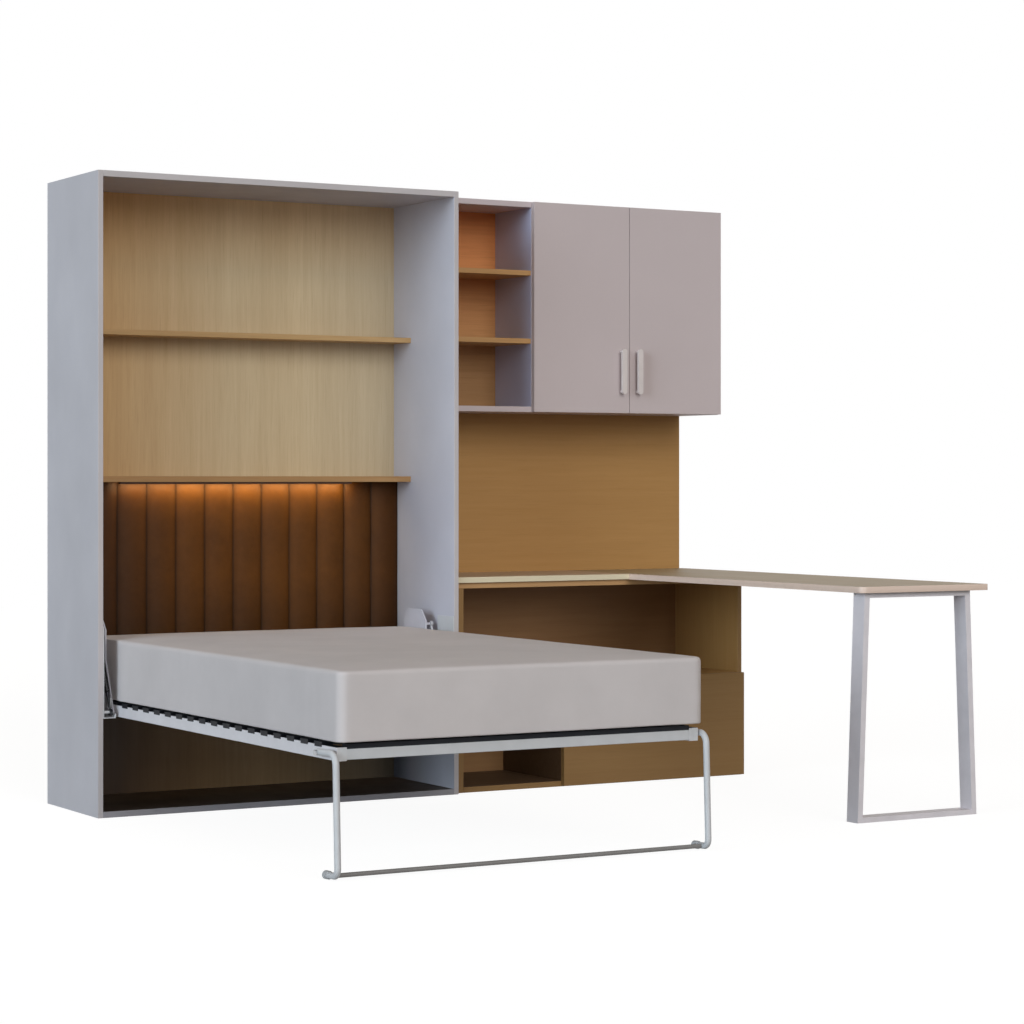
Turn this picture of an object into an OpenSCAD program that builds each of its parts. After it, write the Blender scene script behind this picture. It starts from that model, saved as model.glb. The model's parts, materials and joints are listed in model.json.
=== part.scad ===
// Wall bed with a wall unit and an L-shaped desk.
// Left: an open bed cabinet with two shallow shelves, a padded headboard and a bed that tilts up.
// Right: a cupboard with an open shelf niche, a lower cabinet with a drawer, and the desk.
// X runs right along the wall, Y into the wall, Z up.
// The drawing frame starts at the left end, on the wall and the floor.
// place() then moves it so that the origin is the middle of the footprint, on the floor.

/* [Overall] */
// Height of the unit
unit_h = 2100; // [2090:1:2160]
// Thickness of the plain boards
board_t = 18; // [16:1:19]
// Thickness of the top and bottom boards and of the desk
thick_t = 20; // [18:1:22]

/* [Bed cabinet] */
// Outer width of the bed cabinet
bed_cab_w = 1333; // [1233:1:1433]
// Depth of the bed cabinet
bed_cab_d = 466; // [464:1:490]
// Distance from the wall to the front of the oak back
bed_back_y = 14; // [12:1:16]
// Distance from the wall to the front edge of the two shelves
shelf_y = 145; // [110:1:150]
// Underside of the upper shelf
shelf_hi_z = 1586; // [1400:1:1700]
// Underside of the lower shelf
shelf_lo_z = 1088; // [1000:1:1150]

/* [Headboard and light] */
// Height of the headboard
headboard_h = 568; // [500:1:570]
// Thickness of the headboard at the crown of a channel
headboard_t = 40; // [30:1:44]
// Number of upholstered channels
channels = 12; // [6:1:16]
// Length of the light strip under the lower shelf
led_l = 880; // [300:10:1200]

/* [Bed] */
// Distance from the outside of the cabinet to the bed frame, on each side
frame_gap = 72; // [72:1:76]
// Distance from the wall to the head end of the frame
frame_head_y = 190; // [180:1:210]
// Length of the frame
frame_l = 1868; // [1700:1:1870]
// Underside of the side rails
rail_z = 325; // [322:1:326]
// Height of the side rails
rail_h = 38; // [36:1:38]
// Number of slats
slat_count = 20; // [12:1:24]
// Distance from the frame's side to the mattress
mattress_inset = 8.5; // [5:0.5:20]
// How far the mattress stands out past the head end of the frame
mattress_head = 15; // [0:1:20]
// How far the mattress stands out past the foot end of the frame
mattress_foot = 32; // [10:1:32]
// Thickness of the mattress
mattress_t = 212; // [150:1:212]

/* [Bed mechanism] */
// Distance of the bed pivot behind the cabinet's front
pivot_back = 62; // [60:1:64]
// Height of the bed pivot
pivot_z = 345; // [343:1:346]
// Distance of the support leg's pivot from the foot end of the frame
leg_pivot_back = 79; // [70:1:100]
// Reach of the support leg in front of its pivot
leg_reach = 101; // [95:1:110]
// Outward lean of the support leg in degrees
leg_lean = 2.2; // [0:0.1:3]
// Diameter of the support leg tube
leg_tube_d = 19; // [16:1:20]

/* [Wall unit] */
// Width of the cupboards to the right of the bed cabinet
side_w = 1217; // [1100:1:1340]
// Depth of the upper cupboard without its doors
upper_d = 284; // [240:1:300]
// Underside of the upper cupboard
upper_z = 1340; // [1250:1:1400]
// Width of the open niche with its divider, from the bed cabinet
niche_w = 400; // [300:1:450]
// Distance from the wall to the front of the back boards
back_y = 21; // [20:1:24]

/* [Lower cabinet and desk] */
// Depth of the lower cabinet without the drawer front
lower_d = 438; // [390:1:480]
// Top of the middle shelf of the lower cabinet
middle_z = 383; // [350:1:420]
// Left edge of the drawer front, from the bed cabinet
drawer_x = 434; // [400:1:460]
// Height of the desk surface
desk_z = 755; // [720:1:780]
// How far the desk boards stand out past the lower cabinet
desk_over = 14; // [0:1:30]
// Width of the desk leaf
leaf_w = 518; // [450:1:600]
// Distance from the wall to the free end of the desk leaf
leaf_y = 1826; // [1500:1:1900]

/* [Hidden] */

$fn = 48;
unit_w = bed_cab_w + side_w;
leaf_x0 = unit_w + desk_over - leaf_w;
air = 0.3;
run_gap = 0.05;
through = 1;

// Bed cabinet
inner_x0 = board_t;
inner_x1 = bed_cab_w - board_t;
back_t = 12;
mid_x = bed_cab_w / 2;
crown = 13;
led_y = 74;
led_w = 16;
led_h = 7;

// Bed frame
rail_x0 = frame_gap;
rail_x1 = bed_cab_w - frame_gap;
frame_foot_y = frame_head_y + frame_l;
rail_w = 30;
cross_h = 30;
cross_z = rail_z + 3;
tube_wall = 1.5;
plug_l = 8;
rail_top = rail_z + rail_h;
slat_w = 44;
slat_t = 8;
slat_inset = 6;
slat_head = 61;
slat_foot = 116;
slat_first_y = frame_head_y + slat_head;
slat_pitch = (frame_l - slat_head - slat_foot) / (slat_count - 1);
holder_l = 34;
holder_side = 3;
holder_lip = 1.5;
holder_drop = 6;
mattress_x0 = frame_gap + mattress_inset;
mattress_y0 = frame_head_y - mattress_head;
mattress_y1 = frame_foot_y + mattress_foot;
mattress_z = rail_top + slat_t + 2 * air;
mattress_corner_r = 42;
mattress_edge_r = 18;
mattress_crown = 4;
mattress_flat = 220;

// Side plates of the bed
pivot_y = bed_cab_d - pivot_back;
gusset_t = 4;
gusset_inset = 4;
gusset_lift = 2;
gusset_h = 315;
gusset_top = rail_z + gusset_h;
gusset_front = 20;
gusset_back_cut = 30;
gusset_top_cut = 34;
gusset_neck = 12;
gusset_neck_low = 86;
gusset_front_y = pivot_y + gusset_front;
gusset_head_y = frame_head_y + gusset_inset;
pin_r = 8;
pin_head = 3;

// Gas struts: the rod end turns on the cabinet, the cylinder end follows the gusset
stud_r = 5;
strut_r = 9;
rod_r = 4;
eye_r = 10;
eye_t = 10;
strut_set = 27;
strut_x = rail_x0 - strut_set;
strut_ahead = 56;
strut_behind = 59;
strut_dy = strut_ahead + strut_behind;
strut_drop = 3;
strut_arm = 245;
strut_dz = strut_arm + strut_drop;
strut_foot_y = pivot_y + strut_ahead;
strut_top_y = pivot_y - strut_behind;
strut_foot_z = pivot_z - strut_drop;
strut_len = norm([strut_dy, strut_dz]);
strut_tilt = atan2(strut_dy, strut_dz);
strut_low = 70;
strut_neck = 34;
strut_neck_r = 4.5;
rod_short = 60;

// Brackets that the bed turns on
bracket_t = 4;
bracket_gap = 6;
bracket_plate_x = rail_x0 - gusset_t - bracket_gap - bracket_t;
bracket_front = 6;
bracket_plate_front = 21;
bracket_back = 54;
bracket_below = 3;
bracket_above = 40;
bracket_link = 38;
bracket_lip = 15;
bracket_front_y = strut_foot_y + bracket_front;
bracket_back_y = pivot_y - bracket_back;
bracket_z = rail_z - bracket_below;
bracket_top = pivot_z + bracket_above;
bracket_wall_t = 3;
bracket_wall_drop = 20;
bracket_wall_top = gusset_top - bracket_wall_drop;

// Support leg, drawn square in its own frame at its pivot, then leaned outwards
leg_r = leg_tube_d / 2;
leg_gap = 5;
leg_x = rail_x0 - leg_r - leg_gap;
leg_top_bend = 32;
leg_foot_bend = 22;
leg_foot_l = 70;
leg_tail = 10;
leg_bolt_r = 4;
leg_bolt_head_r = 7;
leg_bolt_head = 8;
cap_r = 12;
cap_l = 16;
cap_end = 4;
bar_r = 6.5;
bar_set = 12.5;
leg_pivot_y = frame_foot_y - leg_pivot_back;
leg_drop = (pivot_z + sin(leg_lean) * (leg_reach - leg_foot_l - cap_end)) / cos(leg_lean) - cap_r;
leg_bend_y = (leg_reach - leg_foot_bend) * cos(leg_lean) + (leg_drop - leg_foot_bend) * sin(leg_lean);
unit_d = leg_pivot_y + leg_bend_y + leg_foot_bend + leg_r;

// Wall unit
side_x = bed_cab_w;
divider_x = side_x + niche_w;
upper_h = unit_h - upper_z;
niche_set = 2;
door_gap = 2;
door_lap = 1;
door_y = upper_d + door_gap;
door_x0 = divider_x + 1.5;
door_x1 = unit_w - 1;
door_mid = (door_x0 + door_x1) / 2;
hinge_set = 110;
hinge_z = [upper_z + hinge_set, unit_h - hinge_set];
hinge_plate = [3, 48, 50];
hinge_arm = [9, 60, 14];
hinge_back = 12;
cup_r = 17.5;
cup_depth = 11;
cup_edge = 22;
cup_wall = 2;
knuckle = [16, 22];
handle_l = 166;
handle_w = 20;
handle_post_r = 6;
handle_lift = 70;
handle_z = upper_z + handle_lift;
handle_off = 35;
handle_bar = 11;
handle_gap = 14;

// Lower cabinet
lower_h = desk_z - thick_t;
lower_top_z = lower_h - thick_t;
end_panel_t = 35;
front_x0 = side_x + drawer_x;
front_gap = 0.5;
front_lift = 3;
front_lap = 2;
slide_t = 12.5;
slide_h = 45;
slide_wall = 1.5;
slide_play = 0.5;
slide_z = 120;
slide_set = 4;
box_side = 15;
box_floor = 8;
box_back_y = 40;
box_gap = slide_t + slide_play;
box_x0 = front_x0 + board_t + box_gap;
box_x1 = unit_w - board_t - box_gap;
box_lift = 14;
box_top = 35;
box_z0 = thick_t + box_lift;
box_z1 = middle_z - board_t - box_top;
slide_l = lower_d - box_back_y - 2 * slide_set;

// Desk
desk_wall_d = lower_d + desk_over;
leaf_corner = 24;
leaf_far_corner = 8;
desk_leg_set = 26;
desk_leg_y0 = leaf_y - desk_leg_set;
desk_leg_depth = 58;
desk_leg_t = 20;
desk_leg_left = 31;
desk_leg_right = 57;
desk_leg_top = [leaf_x0 + desk_leg_left, leaf_x0 + leaf_w - desk_leg_right];
desk_leg_spread = 28;
desk_leg_bar = 17;

module place() {
    translate([-max(unit_w, leaf_x0 + leaf_w) / 2, unit_d / 2, 0]) children();
}

// A board between two corners; y counts away from the wall
module board(x0, x1, y0, y1, z0, z1) {
    place() translate([x0, -y1, z0]) cube([x1 - x0, y1 - y0, z1 - z0]);
}

// A rectangular steel tube along X or along Y
module tube_x(x0, x1, y0, y1, z0, z1) {
    place() translate([x0, -y1, z0]) difference() {
        cube([x1 - x0, y1 - y0, z1 - z0]);
        translate([-through, tube_wall, tube_wall])
            cube([x1 - x0 + 2 * through, y1 - y0 - 2 * tube_wall, z1 - z0 - 2 * tube_wall]);
    }
}

module tube_y(x0, x1, y0, y1, z0, z1) {
    place() translate([x0, -y1, z0]) difference() {
        cube([x1 - x0, y1 - y0, z1 - z0]);
        translate([tube_wall, -through, tube_wall])
            cube([x1 - x0 - 2 * tube_wall, y1 - y0 + 2 * through, z1 - z0 - 2 * tube_wall]);
    }
}

// Children drawn on the left side of the bed, on the chosen side
module bed_side(right) {
    if (right) translate([bed_cab_w, 0, 0]) mirror([1, 0, 0]) children();
    else children();
}

// A cylinder along X from x0 to x1 at y from the wall and height z
module pin_x(x0, x1, y, z, r) {
    translate([x0, -y, z]) rotate([0, 90, 0]) cylinder(h = x1 - x0, r = r);
}

// ---------- bed cabinet ----------

module bed_cabinet_left_side() color("#b9b8c4") board(0, inner_x0, 0, bed_cab_d, 0, unit_h);
module bed_cabinet_right_side() color("#b9b8c4") board(inner_x1, bed_cab_w, 0, bed_cab_d, 0, unit_h);
module bed_cabinet_top() color("#b9b8c4") board(inner_x0, inner_x1, 0, bed_cab_d, unit_h - thick_t, unit_h);
module bed_cabinet_bottom() color("#b9b8c4") board(inner_x0, inner_x1, 0, bed_cab_d, 0, thick_t);

module bed_cabinet_back() {
    color("#b99a68")
        board(inner_x0, inner_x1, bed_back_y - back_t, bed_back_y, thick_t, unit_h - thick_t);
}

module bed_shelf_upper() {
    color("#a9804a") board(inner_x0, inner_x1, bed_back_y, shelf_y, shelf_hi_z, shelf_hi_z + board_t);
}

module bed_shelf_lower() {
    color("#a9804a") board(inner_x0, inner_x1, bed_back_y, shelf_y, shelf_lo_z, shelf_lo_z + thick_t);
}

module led_strip() {
    color("#ffd9a0")
        board(mid_x - led_l / 2, mid_x + led_l / 2, led_y, led_y + led_w, shelf_lo_z - led_h, shelf_lo_z);
}

// Upright channels: arcs side by side on a flat backing board
module headboard() {
    pitch = (inner_x1 - inner_x0 - 2 * air) / channels;
    steps = 8;
    base_y = bed_back_y + headboard_t - crown;
    color("#5b3a22") place() translate([inner_x0 + air, 0, shelf_lo_z - headboard_h])
        linear_extrude(height = headboard_h - air)
            polygon(concat(
                [[0, -bed_back_y]],
                [for (c = [0 : channels - 1], i = [0 : steps])
                    if (i < steps || c == channels - 1)
                        [(c + i / steps) * pitch, -base_y - crown * sqrt(sin(180 * i / steps))]],
                [[channels * pitch, -bed_back_y]]
            ));
}

// Steel bracket: a wall plate, a floor that ends in front of the strut's sweep, an upright plate
module pivot_bracket() {
    length = bracket_front_y - bracket_back_y;
    plate_l = pivot_y + bracket_plate_front - bracket_back_y;
    difference() {
        translate([0, -bracket_back_y, bracket_z]) {
            translate([inner_x0, -length, 0])
                cube([bracket_wall_t, length, bracket_wall_top - bracket_z]);
            translate([inner_x0, -length, 0])
                cube([bracket_plate_x + bracket_t - inner_x0, bracket_link, bracket_wall_t]);
            translate([bracket_plate_x, -length, 0])
                cube([bracket_t, length, bracket_lip]);
            translate([bracket_plate_x, -plate_l, 0])
                cube([bracket_t, plate_l, bracket_top - bracket_z]);
        }
        pin_x(bracket_plate_x - through, bracket_plate_x + bracket_t + through, pivot_y, pivot_z,
            pin_r + run_gap);
    }
    pin_x(inner_x0 + bracket_wall_t / 2, strut_x + eye_t / 2 + 3, strut_foot_y, strut_foot_z, stud_r);
}

module pivot_brackets() {
    color("#e4e4e6") place() for (right = [false, true]) bed_side(right) pivot_bracket();
}

// ---------- upper cupboard ----------

module upper_left_side() {
    color("#b0a6ab")
        board(side_x, side_x + board_t, 0, upper_d, upper_z + thick_t, unit_h - thick_t);
}

module upper_divider() {
    color("#b0a6ab")
        board(divider_x, divider_x + board_t, back_y, upper_d, upper_z + thick_t, unit_h - thick_t);
}

module upper_right_side() {
    color("#b0a6ab")
        board(unit_w - board_t, unit_w, 0, upper_d, upper_z + thick_t, unit_h - thick_t);
}

module upper_top() color("#b0a6ab") board(side_x, unit_w, 0, upper_d, unit_h - thick_t, unit_h);
module upper_bottom() color("#b0a6ab") board(side_x, unit_w, 0, upper_d, upper_z, upper_z + thick_t);

module upper_back() {
    color("#9a7648")
        board(side_x + board_t, unit_w - board_t, back_y - board_t, back_y,
            upper_z + thick_t, unit_h - thick_t);
}

// Shelf i of the open niche, counted from below
module niche_shelf(i) {
    clear_h = (upper_h - 2 * thick_t - 2 * board_t) / 3;
    z = upper_z + thick_t + i * clear_h + (i - 1) * board_t;
    color("#a9804a") board(side_x + board_t, divider_x, back_y, upper_d - niche_set, z, z + board_t);
}

module niche_shelf_lower() niche_shelf(1);
module niche_shelf_upper() niche_shelf(2);

// Mounting plates with hinge arms, on the inside of the divider and of the right side
module hinge_plates() {
    color("#b8babd") place() for (z = hinge_z, s = [0, 1]) {
        x = s == 0 ? divider_x + board_t : unit_w - board_t;
        translate([x, 0, z]) mirror([s, 0, 0]) {
            translate([0, -upper_d + hinge_back, -hinge_plate.z / 2]) cube(hinge_plate);
            translate([hinge_plate.x, -door_y + air, -hinge_arm.z / 2]) cube(hinge_arm);
        }
    }
}

// ---------- doors ----------

module door_blank(x0, x1, cup_x) {
    place() difference() {
        translate([x0, -door_y - board_t, upper_z + door_lap])
            cube([x1 - x0, board_t, upper_h - 2 * door_lap]);
        for (z = hinge_z)
            translate([cup_x, -door_y + through, z]) rotate([90, 0, 0])
                cylinder(h = cup_depth + through, r = cup_r + run_gap);
    }
}

// Steel cup sunk in the door's back, with the knuckle that meets the hinge arm
module hinge_cup(cup_x) {
    place() for (z = hinge_z)
        translate([cup_x, -door_y, z]) rotate([90, 0, 0]) {
            difference() {
                cylinder(h = cup_depth, r = cup_r);
                translate([0, 0, -through])
                    cylinder(h = cup_depth + through - cup_wall, r = cup_r - cup_wall);
            }
            translate([-knuckle.x / 2, -knuckle.y / 2, 0]) cube([knuckle.x, knuckle.y, cup_depth - 1]);
        }
}

module door_left() color("#aca3a6") door_blank(door_x0, door_mid - 1, door_x0 + cup_edge);
module door_right() color("#aca3a6") door_blank(door_mid + 1, door_x1, door_x1 - cup_edge);
module hinge_cups_left() color("#b8babd") hinge_cup(door_x0 + cup_edge);
module hinge_cups_right() color("#b8babd") hinge_cup(door_x1 - cup_edge);

// Upright bar with rounded ends on two short posts
module handle(xc) {
    face = door_y + board_t;
    end_r = handle_w / 2;
    place() translate([xc, -face, handle_z]) {
        for (z = [end_r, handle_l - end_r]) {
            translate([0, 0, z]) rotate([90, 0, 0]) cylinder(h = handle_gap, r = handle_post_r);
            translate([0, -handle_gap, z]) rotate([90, 0, 0]) cylinder(h = handle_bar, r = end_r);
        }
        translate([-end_r, -handle_gap - handle_bar, end_r])
            cube([handle_w, handle_bar, handle_l - handle_w]);
    }
}

module handle_left() color("#bab2b6") handle(door_mid - handle_off);
module handle_right() color("#bab2b6") handle(door_mid + handle_off);

// ---------- lower cabinet ----------

module desk_back_panel() color("#8e6b3c") board(side_x, unit_w, back_y - board_t, back_y, lower_h, upper_z);
module lower_left_side() color("#7d5d33") board(side_x, side_x + end_panel_t, 0, lower_d, 0, lower_top_z);
module lower_right_side() color("#7d5d33") board(unit_w - board_t, unit_w, 0, lower_d, 0, lower_top_z);

module lower_divider() {
    color("#7d5d33")
        board(front_x0, front_x0 + board_t, back_y, lower_d, thick_t, middle_z - board_t);
}

module lower_top() color("#8e6b3c") board(side_x, unit_w, 0, lower_d, lower_top_z, lower_h);

module lower_middle_shelf() {
    color("#7d5d33")
        board(side_x + end_panel_t, unit_w - board_t, back_y, lower_d, middle_z - board_t, middle_z);
}

module lower_bottom() {
    color("#7d5d33") board(side_x + end_panel_t, unit_w - board_t, back_y, lower_d, 0, thick_t);
}

module lower_back() {
    color("#5c4426")
        board(side_x + end_panel_t, unit_w - board_t, back_y - board_t, back_y, 0, lower_top_z);
}

// ---------- drawer ----------

module drawer_front() {
    color("#7a5a31")
        board(front_x0 + 1, unit_w - 1, lower_d + front_gap, lower_d + front_gap + board_t,
            front_lift, middle_z - front_lap);
}

module drawer_box() {
    y1 = lower_d + front_gap;
    color("#c3a06a") place() translate([box_x0, -y1, box_z0]) difference() {
        cube([box_x1 - box_x0, y1 - box_back_y, box_z1 - box_z0]);
        translate([box_side, box_side, box_floor])
            cube([box_x1 - box_x0 - 2 * box_side, y1 - box_back_y - 2 * box_side, box_z1 - box_z0]);
    }
}

// Channel of the runner, fixed to the cabinet; its open side faces the drawer box
module runner_channel() {
    difference() {
        cube([slide_t - 1, slide_l, slide_h]);
        translate([slide_wall, -through, slide_wall])
            cube([slide_t, slide_l + 2 * through, slide_h - 2 * slide_wall]);
    }
}

module drawer_rails_fixed() {
    color("#a8aaae") place() for (s = [0, 1]) {
        x = s == 0 ? front_x0 + board_t : unit_w - board_t;
        translate([x, -lower_d + slide_set, slide_z]) mirror([s, 0, 0]) runner_channel();
    }
}

module drawer_rails_moving() {
    bar_t = slide_t - 2;
    bar_h = slide_h - 2 * slide_wall - 2 * slide_play;
    color("#c4c6ca") place() for (x = [box_x0 - bar_t, box_x1])
        translate([x, -lower_d + slide_set, slide_z + (slide_h - bar_h) / 2])
            cube([bar_t, slide_l - slide_set, bar_h]);
}

// ---------- desk ----------

module desk_top_wall() color("#b39a76") board(side_x, leaf_x0, back_y, desk_wall_d, lower_h, desk_z);

// Long board with two rounded corners at the free end
module desk_top_leaf() {
    color("#b39a76") place() translate([leaf_x0, 0, lower_h]) linear_extrude(height = thick_t) union() {
        translate([0, -leaf_y + leaf_corner]) square([leaf_w, leaf_y - leaf_corner - back_y]);
        translate([leaf_corner, -leaf_y]) square([leaf_w - leaf_corner - leaf_far_corner, 2 * leaf_corner]);
        translate([leaf_corner, -leaf_y + leaf_corner]) circle(r = leaf_corner);
        translate([leaf_w - leaf_corner, -leaf_y + leaf_far_corner]) square(leaf_corner);
        translate([leaf_w - leaf_far_corner, -leaf_y + leaf_far_corner]) circle(r = leaf_far_corner);
    }
}

// Closed loop of flat tube, wider at the floor
module desk_leg() {
    x0 = desk_leg_top[0];
    x1 = desk_leg_top[1];
    color("#b4b6ba") place() translate([0, -desk_leg_y0 + desk_leg_depth, 0]) rotate([90, 0, 0])
        linear_extrude(height = desk_leg_depth) difference() {
            polygon([
                [x0 - desk_leg_spread, 0], [x1 + desk_leg_spread, 0],
                [x1, lower_h], [x0, lower_h]
            ]);
            polygon([
                [x0 - desk_leg_spread + desk_leg_t, desk_leg_bar],
                [x1 + desk_leg_spread - desk_leg_t, desk_leg_bar],
                [x1 - desk_leg_t, lower_h - desk_leg_bar], [x0 + desk_leg_t, lower_h - desk_leg_bar]
            ]);
        }
}

// ---------- bed frame ----------

module bed_rail_left() {
    color("#e8e8ea") tube_y(rail_x0, rail_x0 + rail_w, frame_head_y, frame_foot_y, rail_z, rail_top);
}

module bed_rail_right() {
    color("#e8e8ea") tube_y(rail_x1 - rail_w, rail_x1, frame_head_y, frame_foot_y, rail_z, rail_top);
}

module bed_rail_foot() {
    color("#e8e8ea") tube_x(rail_x0 + rail_w, rail_x1 - rail_w, frame_foot_y - rail_w, frame_foot_y,
        cross_z, cross_z + cross_h);
}

module bed_rail_head() {
    color("#e8e8ea") tube_x(rail_x0 + rail_w, rail_x1 - rail_w, frame_head_y, frame_head_y + rail_w,
        cross_z, cross_z + cross_h);
}

module bed_centre_beam() {
    color("#e8e8ea") tube_y(mid_x - rail_w / 2, mid_x + rail_w / 2, frame_head_y + rail_w,
        frame_foot_y - rail_w, rail_top - cross_h, rail_top);
}

// Plastic plugs that close the ends of the side rails
module rail_end_plugs() {
    color("#dcdcde") place() for (right = [false, true], foot = [false, true]) bed_side(right) {
        y = foot ? frame_foot_y : frame_head_y + plug_l;
        translate([rail_x0 + tube_wall, -y, rail_z + tube_wall])
            cube([rail_w - 2 * tube_wall, plug_l, rail_h - 2 * tube_wall]);
    }
}

// Upright plate welded to the side rail, with the pivot pin and the strut's upper stud
module gusset(right) {
    x0 = rail_x0 - gusset_t;
    pin_x0 = bracket_plate_x - pin_head - 0.5;
    neck_y = strut_top_y + gusset_neck;
    stud_z = pivot_z + strut_arm;
    outline = [
        [-gusset_front_y, rail_z + gusset_lift], [-gusset_head_y, rail_z + gusset_lift],
        [-gusset_head_y, gusset_top - gusset_back_cut], [-gusset_head_y - gusset_back_cut, gusset_top],
        [-neck_y + gusset_top_cut, gusset_top], [-neck_y, stud_z + gusset_neck],
        [-neck_y, stud_z - gusset_neck_low], [-gusset_front_y, pivot_z]
    ];
    place() bed_side(right) {
        translate([x0, 0, 0]) rotate([90, 0, 90]) linear_extrude(height = gusset_t) polygon(outline);
        pin_x(strut_x + eye_t / 2 + air, x0, strut_top_y, stud_z, stud_r);
        pin_x(pin_x0, x0, pivot_y, pivot_z, pin_r);
        pin_x(pin_x0, pin_x0 + pin_head, pivot_y, pivot_z, pin_r + 3);
    }
}

module bed_gusset_left() color("#e4e4e6") gusset(false);
module bed_gusset_right() color("#e4e4e6") gusset(true);

module slats() {
    color("#c9a873") for (i = [0 : slat_count - 1]) {
        y = slat_first_y + i * slat_pitch;
        board(rail_x0 + slat_inset, rail_x1 - slat_inset, y - slat_w / 2, y + slat_w / 2,
            rail_top + air, rail_top + air + slat_t);
    }
}

// Plastic cap round each slat end; in front of the gusset it hooks over the rail's outer face
module slat_holder(lip) {
    half = slat_w / 2;
    width = slat_w + 2 * holder_side;
    difference() {
        translate([rail_x0 - lip, -width / 2, rail_top]) cube([holder_l, width, slat_t + air]);
        translate([rail_x0 + slat_inset, -half, rail_top - through])
            cube([holder_l, slat_w, slat_t + air + 2 * through]);
    }
    if (lip > 0) translate([rail_x0 - lip, -half, rail_top - holder_drop]) cube([lip, slat_w, slat_t]);
}

module slat_holders() {
    color("#26282c") place() for (i = [0 : slat_count - 1], right = [false, true]) {
        y = slat_first_y + i * slat_pitch;
        bed_side(right) translate([0, -y, 0]) slat_holder(y - slat_w > gusset_front_y ? holder_lip : 0);
    }
}

module leg_pivot_bolts() {
    end_x = leg_x - leg_r;
    color("#8c8e92") place() for (right = [false, true]) bed_side(right) {
        pin_x(end_x - leg_bolt_head / 2, rail_x0, leg_pivot_y, pivot_z, leg_bolt_r);
        pin_x(end_x - leg_bolt_head, end_x - 0.5, leg_pivot_y, pivot_z, leg_bolt_head_r);
    }
}

// One rounded corner of the mattress at the given height
module mattress_corner(x, y, z) {
    translate([x, -y, z]) rotate_extrude($fn = 32)
        translate([mattress_corner_r - mattress_edge_r, 0]) circle(r = mattress_edge_r, $fn = 20);
}

module mattress() {
    x = [mattress_x0 + mattress_corner_r, bed_cab_w - mattress_x0 - mattress_corner_r];
    y = [mattress_y0 + mattress_corner_r, mattress_y1 - mattress_corner_r];
    z = [mattress_z + mattress_edge_r, mattress_z + mattress_t - mattress_crown - mattress_edge_r];
    color("#b5acae") place() hull() {
        for (i = [0, 1], j = [0, 1], k = [0, 1]) mattress_corner(x[i], y[j], z[k]);
        translate([x[0] + mattress_flat, -y[1] + mattress_flat, mattress_z + mattress_t - 1])
            cube([x[1] - x[0] - 2 * mattress_flat, y[1] - y[0] - 2 * mattress_flat, 1]);
    }
}

// ---------- support leg ----------

module at_leg_pivot() {
    translate([0, -leg_pivot_y, pivot_z]) rotate([-leg_lean, 0, 0]) children();
}

// Quarter bend in the YZ plane about a centre; from_deg counts from +Y towards +Z
module quarter_bend(y, z, bend_r, from_deg, tube_r) {
    translate([0, y, z]) rotate([90, 0, 90]) rotate([0, 0, from_deg])
        rotate_extrude(angle = 90) translate([bend_r, 0]) circle(r = tube_r);
}

module tube_part(y, z, length, turn, tube_r) {
    translate([0, y, z]) rotate([turn, 0, 0]) cylinder(h = length, r = tube_r);
}

// Arm forward from the pivot, bend, upright, bend, foot back towards the wall
module leg_path(tube_r, over) {
    upright = leg_drop - leg_top_bend - leg_foot_bend;
    tube_part(leg_tail + over, 0, leg_reach - leg_top_bend + leg_tail + over, 90, tube_r);
    quarter_bend(-leg_reach + leg_top_bend, -leg_top_bend, leg_top_bend, 90, tube_r);
    tube_part(-leg_reach, -leg_drop + leg_foot_bend, upright, 0, tube_r);
    quarter_bend(-leg_reach + leg_foot_bend, -leg_drop + leg_foot_bend, leg_foot_bend, 180, tube_r);
    tube_part(-leg_reach + leg_foot_l + over, -leg_drop, leg_foot_l - leg_foot_bend + over, 90, tube_r);
}

module support_leg(right) {
    color("#e8e8ea") place() bed_side(right) at_leg_pivot() translate([leg_x, 0, 0]) difference() {
        leg_path(leg_r, 0);
        leg_path(leg_r - tube_wall, through);
        translate([-leg_tube_d, 0, 0]) rotate([0, 90, 0])
            cylinder(h = 2 * leg_tube_d, r = leg_bolt_r + run_gap);
    }
}

module support_leg_left() support_leg(false);
module support_leg_right() support_leg(true);

// Bar between the two feet, shaped to the tubes it is welded to
module support_leg_crossbar() {
    y = -leg_reach + leg_r + bar_r + bar_set;
    length = bed_cab_w - 2 * leg_x;
    color("#77767a") place() at_leg_pivot() translate([leg_x, y, -leg_drop]) rotate([0, 90, 0])
        difference() {
            cylinder(h = length, r = bar_r);
            for (z = [0, length])
                translate([0, 0, z]) rotate([90, 0, 0])
                    cylinder(h = 3 * leg_tube_d, r = leg_r + run_gap, center = true);
        }
}

module support_leg_caps() {
    color("#d8d8da") place() for (right = [false, true]) bed_side(right) at_leg_pivot()
        translate([leg_x, -leg_reach + leg_foot_l + cap_end, -leg_drop]) rotate([90, 0, 0]) difference() {
            cylinder(h = cap_l + cap_end, r = cap_r);
            translate([0, 0, cap_end]) cylinder(h = cap_l + 1, r = leg_r + run_gap);
        }
}

// ---------- gas struts ----------

// Drawn upright from the lower eye, then tilted back to the line between the two studs
module at_strut() {
    translate([strut_x, -strut_foot_y, strut_foot_z]) rotate([-strut_tilt, 0, 0]) children();
}

module eye() {
    translate([-eye_t / 2, 0, 0]) rotate([0, 90, 0]) cylinder(h = eye_t, r = eye_r);
}

module stud_hole(z) {
    translate([-eye_t, 0, z]) rotate([0, 90, 0]) cylinder(h = 2 * eye_t, r = stud_r + run_gap);
}

module strut_rod(right) {
    color("#3a3b3e") place() bed_side(right) at_strut() difference() {
        union() {
            eye();
            cylinder(h = strut_len - rod_short, r = rod_r);
        }
        stud_hole(0);
    }
}

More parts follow.
